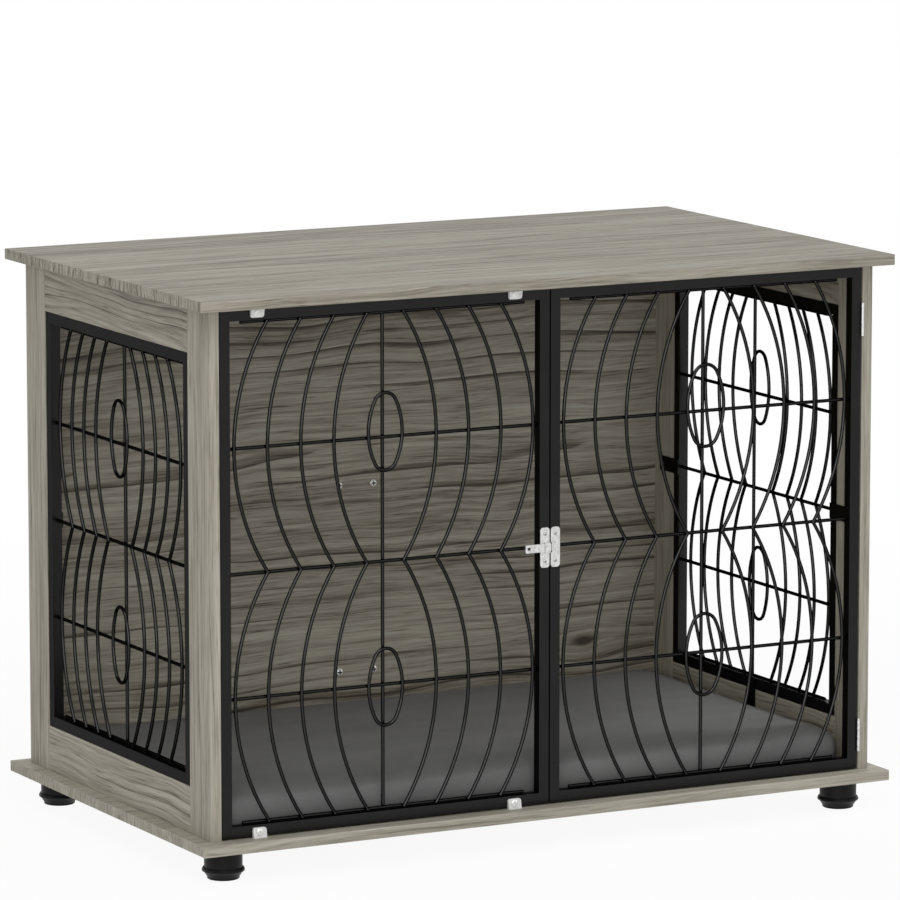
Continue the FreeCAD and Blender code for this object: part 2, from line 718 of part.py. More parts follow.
# Slide latch: a bridged plate on the fixed panel, a keeper on the door, and the bolt between
latch_bores = {"plate": [], "keeper": []}
for latch, left, bridge_left in (("plate", "plate_left", "fixed_right - bridge_length"),
                                 ("keeper", "door_left", "door_left")):
    latch_name = f"latch_{latch}"
    middle = f"{left} + latch_plate_width / 2"
    sheet_metal = prism(latch_name + "_sheet", "XZ_Plane",
                        rectangle("latch_plate_width", "latch_plate_height"),
                        "latch_plate_thickness", "latch_corner_radius", round_axes=(1,))
    place(sheet_metal, (left, "front_face", "middle_height - latch_plate_height / 2"))
    bridge = box(latch_name + "_bridge",
                 ("bridge_length", "front_face - bridge_front", "2 * bridge_half_height"),
                 (bridge_left, "bridge_front", "middle_height - bridge_half_height"))
    way = box(latch_name + "_way",
              ("bridge_length + 2 * overrun", "plate_front - bridge_front - bridge_wall",
               "2 * slot_half_height"),
              (f"{bridge_left} - overrun", "bridge_front + bridge_wall",
               "middle_height - slot_half_height"))
    screws = []
    for spot, height in (("low", "middle_height - latch_plate_height / 2 + latch_screw_inset"),
                         ("high", "middle_height + latch_plate_height / 2 - latch_screw_inset")):
        screw, hole = fixed_by(small_screw, "small", f"{latch_name}_{spot}_screw", "small_shank_length",
                               (middle, "plate_front", height), "+Y")
        screws.append(screw)
        latch_bores[latch].append(hole)
    formed = join(latch_name + "_formed", [sheet_metal, bridge])
    finish(cut(latch_name, formed, [way] + latch_bores[latch]), latch_name)
    finish(group(latch_name + "_screws", screws), latch_name + "_screws")
bolt_strip = prism("latch_bolt_strip", "XZ_Plane", rectangle("bolt_length", "bolt_width"),
                   "bolt_thickness", "bolt_corner_radius", round_axes=(1,))
place(bolt_strip, ("plate_left - bolt_tab", "bolt_back", "middle_height - bolt_width / 2"))
finger_hole = bore("latch_bolt_hole", "bolt_hole_radius", "bolt_thickness + overrun",
                   ("plate_left - bolt_tab + bolt_hole_inset", "bolt_front", "middle_height"), "+Y")
finish(cut("latch_bolt", bolt_strip, [finger_hole]), "latch_bolt")


# Wooden pieces
def drilled(name, blank, bores):
    """A wooden piece with its holes."""
    return finish(cut(name, blank, bores), name)


board_size = ("board_width", "board_depth", "board_thickness")
for level, height in (("top", "top_under"), ("base", "base_under")):
    blank = board(f"{level}_board_blank", board_size, ("-board_width / 2", "-board_depth / 2", height),
                  "board_edge_radius")
    bores = [board_dowel_bores[side, end, level] for side in SIDES for end in ENDS] + clip_board_bores[level]
    if level == "base":
        bores = bores + foot_bores
    drilled(f"{level}_board", blank, bores)

for side, sx in SIDES.items():
    outer = "-wall_outer" if sx < 0 else "wall_inner"
    front_blank = board(f"{side}_front_stile_blank", ("wall_thickness", "member_width", "interior_height"),
                        (outer, "-carcass_half_depth", "base_top"), "member_edge_radius")
    # The back stile has a rabbet along its inner back edge for the back panel
    if sx < 0:
        back_outline = [("0", "0"), ("wall_thickness", "0"),
                        ("wall_thickness", "member_width - panel_thickness"),
                        ("wall_thickness - rabbet_depth", "member_width - panel_thickness"),
                        ("wall_thickness - rabbet_depth", "member_width"), ("0", "member_width")]
    else:
        back_outline = [("0", "0"), ("wall_thickness", "0"), ("wall_thickness", "member_width"),
                        ("rabbet_depth", "member_width"), ("rabbet_depth", "member_width - panel_thickness"),
                        ("0", "member_width - panel_thickness")]
    back_blank = prism(f"{side}_back_stile_blank", "XY_Plane", back_outline, "interior_height",
                       "member_edge_radius", round_axes=(0, 1))
    place(back_blank, (outer, "opening_half_depth", "base_top"))
    for end, blank in (("front", front_blank), ("back", back_blank)):
        bores = [tab_bores[side, end]]
        for level in ("top", "base"):
            bores = bores + [board_dowel_bores[side, end, level], rail_dowel_bores[side, end, level]]
        if end == "back":
            bores = bores + edge_bores[side]
        if (side, end) == ("right", "front"):
            bores = bores + hinge_post_bores
        drilled(f"{side}_{end}_stile", blank, bores)
    for level, height in (("top", "top_under - member_width"), ("base", "base_top")):
        blank = board(f"{side}_{level}_rail_blank",
                      ("wall_thickness", "2 * opening_half_depth", "member_width"),
                      (outer, "-opening_half_depth", height), "member_edge_radius")
        bores = [tab_bores[side, level]] + [rail_dowel_bores[side, end, level] for end in ENDS]
        drilled(f"{side}_{level}_rail", blank, bores)

panel_blank = box("back_panel_blank",
                  ("2 * panel_half_width", "panel_thickness", "interior_height - panel_top_gap"),
                  ("-panel_half_width", "back_face", "base_top"))
drilled("back_panel", panel_blank, batten_bores + edge_bores["left"] + edge_bores["right"])
batten_blank = board("rear_batten_blank", ("batten_width", "batten_thickness", "interior_height"),
                     ("-batten_width / 2", "carcass_half_depth", "base_top"), "member_edge_radius")
drilled("rear_batten", batten_blank, batten_bores)


# Steel frames
def tube_frame(prefix, wall, left, right, low, height, bores):
    """Four square tubes mitred at the corners, with bores through the tubes that are named."""
    width = f"{right} - ({left})"
    high = f"{low} + {height}"
    corners = {"bottom": (left, low, width), "right": (right, low, height),
               "top": (right, high, width), "left": (left, high, height)}
    for place_name, turn in TUBE_TURNS.items():
        along, level, length = corners[place_name]
        tube_name = f"{prefix}_{UPRIGHT_NAMES[wall].get(place_name, place_name)}_tube"
        shell = doc.addObject("Part::Wedge", tube_name + "_outside")
        bind(shell, Xmin="0", Xmax=length, X2min="tube_size", X2max=f"{length} - tube_size",
             Ymin="0", Ymax="tube_size", Zmin="0", Zmax="tube_size", Z2min="0", Z2max="tube_size")
        hollow = doc.addObject("Part::Wedge", tube_name + "_inside")
        bind(hollow, Xmin="tube_wall", Xmax=f"{length} - tube_wall",
             X2min="tube_size - tube_wall", X2max=f"{length} - tube_size + tube_wall",
             Ymin="tube_wall", Ymax="tube_size - tube_wall",
             Zmin="tube_wall", Zmax="tube_size - tube_wall",
             Z2min="tube_wall", Z2max="tube_size - tube_wall")
        lie = FreeCAD.Rotation(FreeCAD.Vector(0, 1, 0), turn) * ALONG["-Y"]
        tube = copy_of(cut(tube_name + "_straight", shell, [hollow]), tube_name + "_placed",
                       on_wall(wall, along, level, "tube_size"), WALL_TURN[wall] * lie)
        if place_name in bores:
            tube = cut(tube_name, tube, bores[place_name])
        finish(tube, tube_name)


tube_frame("fixed_panel", "front", "fixed_left", "fixed_right", "front_low", "front_height",
           {"bottom": clip_panel_bores["base"], "top": clip_panel_bores["top"],
            "right": latch_bores["plate"]})
tube_frame("door", "front", "door_left", "door_right", "front_low", "front_height",
           {"left": latch_bores["keeper"], "right": hinge_door_bores})
for side in SIDES:
    tube_frame(f"{side}_grille", side, "-side_half_width", "side_half_width", "side_low", "side_height", {})
    finish(group(f"{side}_grille_tabs", tabs[side]), f"{side}_grille_tabs")

# Wires of a grille: bent arcs in two tiers, rods behind them, an oval ring on each outer rod, a centre wire
ARCS_PER_SIDE = 4


def bent(name, radius, centre, start_angle, sweep):
    """A bent wire in the plane of a grille: part of a ring about a centre."""
    wire = doc.addObject("Part::Torus", name)
    bind(wire, Radius1=radius, Radius2="wire_radius", Angle3=sweep)
    spot = "; ".join(centre)
    lie = "create(<<rotation>>; create(<<vector>>; 1; 0; 0); 90)"
    start = f"create(<<rotation>>; create(<<vector>>; 0; 0; 1); {start_angle})"
    bind(wire, Placement=f"create(<<placement>>; create(<<vector>>; {spot}); {lie} * {start})")
    return wire


def bead(name, point):
    """A ball of weld at the end of a wire."""
    ball = doc.addObject("Part::Sphere", name)
    bind(ball, Radius="wire_radius * bead_share")
    return place(ball, point)


def mirrored(name, source, normal):
    """The mirror image of an object through the middle of its grille."""
    image = doc.addObject("Part::Mirroring", name)
    image.Source = source
    image.Normal = FreeCAD.Vector(*normal)
    return image


def wire_grille(prefix, kind, half_inside, ring):
    """All the wires of one grille, about its middle and in from the outer face of its frame."""
    chord = f"{kind}_chord"
    start, pitch, bulge, radius, angle = (
        f"{prefix}_arc_{word}" for word in ("start", "pitch", "bulge", "radius", "angle"))
    arcs = []
    tips = []
    kinks = []
    for number in range(ARCS_PER_SIDE):
        end = f"{start} + {number} * {pitch}"
        arcs.append(bent(f"{prefix}_arc_{number}", radius,
                         (f"{radius} - {bulge} - ({end})", "wire_depth", f"{chord} / 2"),
                         f"180 deg - {angle}", f"2 * {angle}"))
        tips.append(bead(f"{prefix}_tip_{number}", (f"-({end})", "wire_depth", chord)))
        kinks.append(bead(f"{prefix}_kink_{number}", (f"-({end})", "wire_depth", "0")))
    bars = []
    for row in (-1, 0, 1):
        bars.append(rod(f"{prefix}_rod_{row + 1}", "wire_radius", f"2 * {half_inside}",
                        (f"-{half_inside}", "rod_depth", signed(row, f"{chord} / 2")), "+X"))
        if row:
            bars.append(rod(f"{prefix}_end_rod_{row + 1}", "wire_radius",
                            f"2 * ({half_inside} - end_rod_inset)",
                            (f"-{half_inside} + end_rod_inset", "rod_depth", signed(row, chord)), "+X"))
    spine = rod(f"{prefix}_centre", "wire_radius", f"2 * {chord}", ("0", "spine_depth", f"-{chord}"), "+Z")
    shapes = [group(f"{prefix}_bars", bars), spine]
    for name, members in (("arcs", arcs), ("tips", tips)):
        quarter = group(f"{prefix}_{name}", members)
        below = mirrored(f"{prefix}_{name}_below", quarter, (0, 0, 1))
        shapes += [quarter, below]
        shapes += [mirrored(f"{source.Name}_right", source, (1, 0, 0)) for source in (quarter, below)]
    kink_row = group(f"{prefix}_kinks", kinks)
    shapes += [kink_row, mirrored(f"{prefix}_kinks_right", kink_row, (1, 0, 0))]
    for tier, level in (("upper", f"{chord} / 2 + upper_ring_rise"),
                        ("lower", f"-({chord} / 2 + lower_ring_drop)")):
        ends = [
            bent(f"{prefix}_{tier}_ring_{spot}", f"{ring}_end_radius",
                 ("0", "wire_depth", f"{level} {sign} {ring}_end_reach"), f"{middle} - {ring}_end_angle",
                 f"2 * {ring}_end_angle")
            for spot, sign, middle in (("top", "+", "90 deg"), ("base", "-", "270 deg"))]
        sides = [
            bent(f"{prefix}_{tier}_ring_{spot}", f"{ring}_side_radius",
                 (f"{sign} {ring}_side_reach", "wire_depth", level), f"{middle} - {ring}_side_angle",
                 f"2 * {ring}_side_angle")
            for spot, sign, middle in (("left", "+", "180 deg"), ("right", "-", "0 deg"))]
        shapes += [group(f"{prefix}_{tier}_ring_ends", ends), group(f"{prefix}_{tier}_ring_sides", sides)]
    return join(f"{prefix}_wires_welded", shapes)


front_middle = "front_low + front_height / 2"
fixed_wires = wire_grille("fixed", "front", "fixed_half_inside", "ring")
finish(copy_of(fixed_wires, "fixed_panel_wires",
               on_wall("front", "(fixed_left + fixed_right) / 2", front_middle, "0")), "fixed_panel_wires")
door_wires = wire_grille("door", "front", "door_half_inside", "door_ring")
finish(copy_of(door_wires, "door_wires",
               on_wall("front", "(door_left + door_right) / 2", front_middle, "0")), "door_wires")
side_wires = wire_grille("side", "side", "side_half_inside", "ring")
for side in SIDES:
    wires_name = f"{side}_grille_wires"
    finish(copy_of(side_wires, wires_name,
                   on_wall(side, "0", "side_low + side_height / 2", "0"), WALL_TURN[side]), wires_name)

# Groups of like fasteners
finish(group("board_dowels", board_dowels), "board_dowels")
finish(group("rail_dowels", rail_dowels), "rail_dowels")
finish(group("grille_tab_screws", tab_screws), "grille_tab_screws")
finish(group("panel_clips", clips), "panel_clips")
finish(group("clip_screws", clip_screws), "clip_screws")
finish(group("foot_screws", foot_screws), "foot_screws")
finish(group("batten_screws", batten_screws), "batten_screws")
finish(group("back_panel_screws", edge_screws), "back_panel_screws")


# Floor cushion: a stack of outlines whose sides pull in between the corners, closed over a crown
def cushion_outline(half_width, half_depth, corner, pull, height):
    """A closed outline of four drawn-in sides and four round corners."""
    def corner_points(sx, sy):
        middle = FreeCAD.Vector(sx * (half_width - corner), sy * (half_depth - corner), height)
        diagonal = corner * math.sqrt(0.5)
        return (middle + FreeCAD.Vector(sx * corner, 0, 0),
                middle + FreeCAD.Vector(sx * diagonal, sy * diagonal, 0),
                middle + FreeCAD.Vector(0, sy * corner, 0))
    east, ne, north = corner_points(1, 1)
    west, nw, north_west = corner_points(-1, 1)
    west_low, sw, south_west = corner_points(-1, -1)
    east_low, se, south = corner_points(1, -1)
    edges = []
    for start, through, stop in (
            (east, ne, north),
            (north, FreeCAD.Vector(0, half_depth - pull, height), north_west),
            (north_west, nw, west),
            (west, FreeCAD.Vector(-half_width + pull, 0, height), west_low),
            (west_low, sw, south_west),
            (south_west, FreeCAD.Vector(0, -half_depth + pull, height), south),
            (south, se, east_low),
            (east_low, FreeCAD.Vector(half_width - pull, 0, height), east)):
        edges.append(Part.Arc(start, through, stop).toShape())
    return Part.Wire(edges)


half_width = derived.wall_inner - sizes.cushion_side_gap
front_edge = derived.front_face + sizes.tube_size + sizes.cushion_front_gap
back_edge = derived.back_face - sizes.cushion_front_gap
half_depth = (back_edge - front_edge) / 2
rise = sizes.cushion_thickness - sizes.cushion_crown
# Shares of the edge's inset and rise up the side, then of the half depth and the crown over the top
SIDE_SHARES = ((1.0, 0.0), (0.25, 0.16), (0.0, 0.45), (0.12, 0.72), (0.45, 0.91), (1.0, 1.0))
CROWN_SHARES = ((0.18, 0.36), (0.4, 0.72), (0.65, 0.93), (0.88, 1.0))
levels = [(inset * sizes.cushion_edge_inset, up * rise) for inset, up in SIDE_SHARES]
levels += [(sizes.cushion_edge_inset + inset * (half_depth - sizes.cushion_edge_inset),
            rise + up * sizes.cushion_crown) for inset, up in CROWN_SHARES]
outlines = []
for inset, height in levels:
    shrink = (half_depth - inset) / half_depth
    outlines.append(cushion_outline(half_width - inset, half_depth - inset,
                                    sizes.cushion_corner_radius * shrink,
                                    sizes.cushion_pull_in * shrink, height))
cushion = doc.addObject("Part::Feature", "cushion")
cushion.Shape = Part.makeLoft(outlines, True, True)
cushion_spot = FreeCAD.Vector(0, (front_edge + back_edge) / 2, derived.base_top + sizes.cushion_floor_gap)
cushion.Placement = FreeCAD.Placement(cushion_spot, FreeCAD.Rotation())
finish(cushion, "cushion")

doc.recompute()

# Nothing is written unless every object is sound
for thing in doc.Objects:
    if "Invalid" in thing.State or "Error" in thing.State:
        raise RuntimeError(f"{thing.Name} failed: {thing.State}")
for piece in pieces:
    if piece.Shape.isNull() or not piece.Shape.isValid() or not piece.Shape.Solids:
        raise RuntimeError(f"{piece.Label} has no sound solid")
    if piece.Shape.Volume <= 0:
        raise RuntimeError(f"{piece.Label} has no volume")

os.makedirs("parts", exist_ok=True)
for piece in pieces:
    piece.Shape.exportStep(os.path.join("parts", f"{piece.Label}.step"))
print(len(pieces), "pieces written")
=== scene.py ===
import math

import bmesh
import bpy
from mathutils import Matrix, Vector


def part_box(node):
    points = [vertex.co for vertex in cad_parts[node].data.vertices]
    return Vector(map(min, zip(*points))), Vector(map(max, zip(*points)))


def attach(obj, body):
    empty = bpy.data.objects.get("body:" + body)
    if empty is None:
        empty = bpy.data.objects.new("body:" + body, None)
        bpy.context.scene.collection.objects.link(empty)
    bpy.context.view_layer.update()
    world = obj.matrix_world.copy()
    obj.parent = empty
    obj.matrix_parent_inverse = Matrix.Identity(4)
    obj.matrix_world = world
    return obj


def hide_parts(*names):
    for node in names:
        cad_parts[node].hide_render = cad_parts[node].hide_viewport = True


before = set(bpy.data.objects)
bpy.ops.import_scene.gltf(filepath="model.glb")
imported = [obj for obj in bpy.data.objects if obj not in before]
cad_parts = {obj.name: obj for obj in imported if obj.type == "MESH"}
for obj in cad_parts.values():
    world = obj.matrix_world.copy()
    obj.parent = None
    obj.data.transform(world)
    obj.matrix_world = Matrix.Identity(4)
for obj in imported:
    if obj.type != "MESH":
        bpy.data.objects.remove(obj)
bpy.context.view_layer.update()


# Feet: four stepped round feet of black moulded plastic with a fine spark-eroded skin. One
# zinc-plated screw goes up through the hollow of each and pulls it against the base board.
def add(tree, kind, inputs=None, **settings):
    """A shader node with its settings; each input takes a value or is joined to an output."""
    made = tree.nodes.new("ShaderNode" + kind)
    for name, value in settings.items():
        setattr(made, name, value)
    for name, value in (inputs or {}).items():
        if isinstance(value, bpy.types.NodeSocket):
            tree.links.new(value, made.inputs[name])
        else:
            made.inputs[name].default_value = value
    return made


def calc(tree, operation, *values, clamp=False):
    """The output of a Math node."""
    return add(tree, "Math", dict(enumerate(values)), operation=operation, use_clamp=clamp).outputs[0]


def noise(tree, vector, scale, detail=2.0, roughness=0.5):
    """The grey output of a Noise Texture."""
    return add(tree, "TexNoise", {"Vector": vector, "Scale": scale, "Detail": detail,
                                  "Roughness": roughness}).outputs["Fac"]


def level(tree, share, low, high):
    """A value that goes from low to high as the share goes from 0 to 1."""
    return calc(tree, "MULTIPLY_ADD", share, high - low, low)


def weigh(tree, first, second, share):
    """Two values mixed; the share is the second one's."""
    rest = calc(tree, "MULTIPLY", first, 1.0 - share)
    return calc(tree, "MULTIPLY_ADD", second, share, rest)


def ramp(tree, value, stops):
    """A Color Ramp through the given places and colours."""
    made = add(tree, "ValToRGB", {"Fac": value})
    points = made.color_ramp.elements
    for _ in stops[2:]:
        points.new(0.5)
    for point, (place, colour) in zip(points, stops):
        point.position = place
        point.color = (*colour, 1.0)
    return made.outputs["Color"]


def effect(name, inputs, outputs):
    """An empty node group with named sockets, and its own input and output sockets."""
    tree = bpy.data.node_groups.new(name, "ShaderNodeTree")
    for label, kind in inputs:
        tree.interface.new_socket(label, in_out="INPUT", socket_type="NodeSocket" + kind)
    for label, kind in outputs:
        tree.interface.new_socket(label, in_out="OUTPUT", socket_type="NodeSocket" + kind)
    return tree, tree.nodes.new("NodeGroupInput").outputs, tree.nodes.new("NodeGroupOutput").inputs


def give(tree, outputs, colour, roughness, height):
    """Joins what an effect has worked out to its output sockets."""
    for name, value in (("Colour", colour), ("Roughness", roughness), ("Height", height)):
        tree.links.new(value, outputs[name])


def place_effect(tree, group, inputs):
    """An effect placed in a material, with its inputs."""
    return add(tree, "Group", inputs, node_tree=group).outputs


def finish(name, **constants):
    """A new material: its node tree and its shader, with constants set on the shader's sockets."""
    material = bpy.data.materials.new(name)
    material.use_nodes = True
    tree = material.node_tree
    shader = tree.nodes["Principled BSDF"]
    for socket, value in constants.items():
        shader.inputs[socket.replace("_", " ")].default_value = value
    return material, tree, shader


def own_place(tree):
    """The place of a point in the piece's own frame, in metres."""
    return add(tree, "TexCoord").outputs["Object"]


def between(tree, share, dark, pale):
    """A colour between two others; the numbers are the Mix node's sockets for colours."""
    made = add(tree, "Mix", data_type="RGBA")
    for source, target in ((share, 0), (dark, 6), (pale, 7)):
        tree.links.new(source, made.inputs[target])
    return made.outputs[2]


def bump(tree, shader, height, strength, distance):
    """Relief of a surface, from a height between 0 and 1; distance is in metres."""
    relief = add(tree, "Bump", {"Height": height, "Strength": strength, "Distance": distance})
    tree.links.new(relief.outputs["Normal"], shader.inputs["Normal"])


def cover(tree, shader, look, relief, depth):
    """Joins an effect's colour, roughness and relief to the shader."""
    tree.links.new(look["Colour"], shader.inputs["Base Color"])
    tree.links.new(look["Roughness"], shader.inputs["Roughness"])
    bump(tree, shader, look["Height"], relief, depth)


def dress(material, *names):
    """Gives the material to pieces of the frame."""
    for name in names:
        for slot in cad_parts[name].material_slots:
            slot.material = material


SURFACE = [("Colour", "Color"), ("Roughness", "Float"), ("Height", "Float")]
TWO_SHADES = [("Place", "Vector"), ("Dark", "Color"), ("Pale", "Color")]
moulded_skin, skin_in, skin_out = effect("moulded_skin", TWO_SHADES, SURFACE)
skin_grain = noise(moulded_skin, skin_in["Place"], scale=900.0, detail=3.0)
skin_cloud = noise(moulded_skin, skin_in["Place"], scale=38.0, detail=3.0)
skin_tone = weigh(moulded_skin, skin_cloud, skin_grain, share=0.35)
skin_colour = between(moulded_skin, skin_tone, skin_in["Dark"], skin_in["Pale"])
skin_dullness = level(moulded_skin, skin_cloud, low=0.34, high=0.52)
give(moulded_skin, skin_out, skin_colour, skin_dullness, skin_grain)

foot_plastic, tree, shader = finish("foot_plastic", Specular_IOR_Level=0.17)
skin = place_effect(tree, moulded_skin, {"Place": own_place(tree), "Dark": (0.002, 0.002, 0.002, 1),
                                         "Pale": (0.005, 0.005, 0.005, 1)})
cover(tree, shader, skin, relief=0.25, depth=0.0002)
dress(foot_plastic, "front_left_foot", "front_right_foot", "back_left_foot", "back_right_foot")

DRAWN_LINES = (900.0, 900.0, 60.0)
plated_film, film_in, film_out = effect("plated_film", TWO_SHADES, SURFACE)
film_drawn = add(plated_film, "Mapping", {"Vector": film_in["Place"], "Scale": DRAWN_LINES}).outputs[0]
film_lines = noise(plated_film, film_drawn, scale=1.0, detail=2.0)
film_spangle = add(plated_film, "TexVoronoi", {"Vector": film_in["Place"], "Scale": 420.0}).outputs["Color"]
film_patch = add(plated_film, "SeparateColor", {"Color": film_spangle}).outputs[0]
film_tone = weigh(plated_film, film_lines, film_patch, share=0.55)
film_colour = between(plated_film, film_tone, film_in["Dark"], film_in["Pale"])
film_dullness = level(plated_film, film_tone, low=0.26, high=0.46)
give(plated_film, film_out, film_colour, film_dullness, film_lines)


def zinc_plated(name, metallic, dark, pale, pieces):
    """Zinc plate on steel pieces, between two shades."""
    material, tree, shader = finish(name, Metallic=metallic)
    film = place_effect(tree, plated_film, {"Place": own_place(tree), "Dark": (*dark, 1),
                                            "Pale": (*pale, 1)})
    cover(tree, shader, film, relief=0.15, depth=0.0001)
    dress(material, *pieces)
    return material


screw_zinc = zinc_plated("screw_zinc", metallic=0.4, dark=(0.74, 0.74, 0.73), pale=(0.94, 0.94, 0.93),
                         pieces=["foot_screws"])

# Base board: 15 mm particle board wrapped in a grey-taupe printed laminate with an oak figure,
# the grain along its width. Its ends show the short grain of the printed edge band.
laminate_figure, wood_in, wood_out = effect(
    "laminate_figure",
    [(label, "Float") for label in ("Along", "Across", "Seed", "Heart", "Sweep", "Spread", "Wander", "Rings",
                                    "Contrast", "Tone")], SURFACE)


def figure(operation, *values, clamp=False):
    """The output of a Math node in the figure."""
    return calc(laminate_figure, operation, *values, clamp=clamp)


def grain_noise(line, along, across, detail=2.0, roughness=0.5):
    """Noise drawn out along the fibres: how often it repeats per metre along and across them."""
    run = figure("MULTIPLY", wood_in["Along"], along)
    rise = figure("MULTIPLY", line, across)
    spot = add(laminate_figure, "CombineXYZ", {"X": run, "Y": rise, "Z": wood_in["Seed"]}).outputs[0]
    return noise(laminate_figure, spot, 1.0, detail, roughness)


def swing(line, **shape):
    """The same noise, but from -0.5 to 0.5."""
    return figure("SUBTRACT", grain_noise(line, **shape), 0.5)


def patches(cloud, gain, offset):
    """Separate patches out of a noise: 1 inside them and 0 between."""
    return figure("MULTIPLY_ADD", cloud, gain, offset, clamp=True)


TIGHT_BEND = 0.09
wide_bend = swing(wood_in["Across"], along=1.9, across=3.0)
tight_bend = swing(wood_in["Across"], along=6.5, across=10.0, detail=1.0)
bend = figure("MULTIPLY_ADD", tight_bend, TIGHT_BEND, wide_bend)
grain_line = figure("MULTIPLY_ADD", bend, wood_in["Wander"], wood_in["Across"])
# The rings of the trunk, cut nearly along its length, so that they draw out into long arches
HEART_DEPTH = 0.03
RING_DRIFT = 0.036
RING_SHARPNESS = 9.0
RING_SHADE = 0.28
from_heart = figure("SUBTRACT", grain_line, wood_in["Heart"])
trunk_depth = figure("MULTIPLY_ADD", wood_in["Along"], wood_in["Sweep"], HEART_DEPTH)
ring_distance = figure("ADD", figure("MULTIPLY", from_heart, from_heart),
                       figure("MULTIPLY", trunk_depth, trunk_depth))
ring_distance = figure("SQRT", ring_distance)
ring_drift = grain_noise(grain_line, along=1.3, across=17.0)
ring_count = figure("MULTIPLY_ADD", ring_drift, RING_DRIFT, ring_distance)
ring_count = figure("MULTIPLY", ring_count, wood_in["Spread"])
ring_place = figure("FRACT", ring_count)
ring_edge = figure("POWER", ring_place, RING_SHARPNESS)
ring_shade = figure("POWER", ring_place, 2.0)
ring_presence = grain_noise(grain_line, along=2.0, across=30.0)
ring_presence = patches(ring_presence, gain=4.5, offset=-1.9)
ring_dark = figure("MULTIPLY_ADD", ring_shade, RING_SHADE, ring_edge)
ring_dark = figure("MULTIPLY", figure("MULTIPLY", ring_dark, ring_presence), wood_in["Rings"])
# Bands, streaks and fibres between the rings, and a few short dark smudges
BAND_DEPTH = 0.34
STREAK_DEPTH = 0.75
FIBRE_DEPTH = 0.85
PORE_DEPTH = 0.32
SMUDGE_DEPTH = 0.42
wood_band = swing(grain_line, along=1.1, across=16.0)
wood_streak = swing(grain_line, along=4.2, across=140.0, detail=3.0, roughness=0.6)
wood_fibre = swing(grain_line, along=13.0, across=400.0, detail=3.0, roughness=0.65)
wood_pores = grain_noise(grain_line, along=20.0, across=500.0, detail=1.0)
wood_pores = patches(wood_pores, gain=6.0, offset=-3.8)
wood_smudge = grain_noise(grain_line, along=6.5, across=42.0, detail=3.0, roughness=0.6)
wood_smudge = patches(wood_smudge, gain=7.0, offset=-4.75)
wood_tone = figure("MULTIPLY", wood_band, BAND_DEPTH)
wood_tone = figure("MULTIPLY_ADD", wood_streak, STREAK_DEPTH, wood_tone)
wood_tone = figure("MULTIPLY_ADD", wood_fibre, FIBRE_DEPTH, wood_tone)
wood_tone = figure("MULTIPLY_ADD", wood_pores, -PORE_DEPTH, wood_tone)
smudge_depth = figure("MULTIPLY", wood_in["Rings"], -SMUDGE_DEPTH)
wood_tone = figure("MULTIPLY_ADD", wood_smudge, smudge_depth, wood_tone)
wood_tone = figure("SUBTRACT", wood_tone, ring_dark)
wood_tone = figure("MULTIPLY_ADD", wood_tone, wood_in["Contrast"], wood_in["Tone"])
wood_colour = ramp(laminate_figure, wood_tone, [
    (0.0, (0.052, 0.043, 0.030)), (0.25, (0.155, 0.138, 0.104)), (0.5, (0.305, 0.283, 0.228)),
    (0.72, (0.405, 0.381, 0.314)), (1.0, (0.520, 0.497, 0.420))])
# Pale streaks are a little glossier, and the pressed relief follows the fibres and sinks at the rings
DULLNESS = 0.56
STREAK_GLOSS = 0.25
MIDDLE_HEIGHT = 0.5
FIBRE_RELIEF = 0.8
RING_RELIEF = 0.4
wood_dullness = figure("MULTIPLY_ADD", wood_streak, -STREAK_GLOSS, DULLNESS)
wood_relief = figure("MULTIPLY_ADD", wood_fibre, FIBRE_RELIEF, MIDDLE_HEIGHT)
wood_relief = figure("MULTIPLY_ADD", ring_dark, -RING_RELIEF, wood_relief)
give(laminate_figure, wood_out, wood_colour, wood_dullness, wood_relief)

# A face is an end or an edge when its normal turns this far towards the axis
FACE_TURN = 0.7
# On an end the print changes this much quicker through and across the board, and is stronger
SHORT_GRAIN = 9.0
END_CROWDING = 2.2
END_RINGS = 0.12
END_CONTRAST = 0.35
# A knot is drawn out along the grain and pushes it aside, and its core is small and dark
KNOT_STRETCH = 0.45
KNOT_OPENING = 0.8
KNOT_CORE = 14.0
KNOT_DARKNESS = 0.55


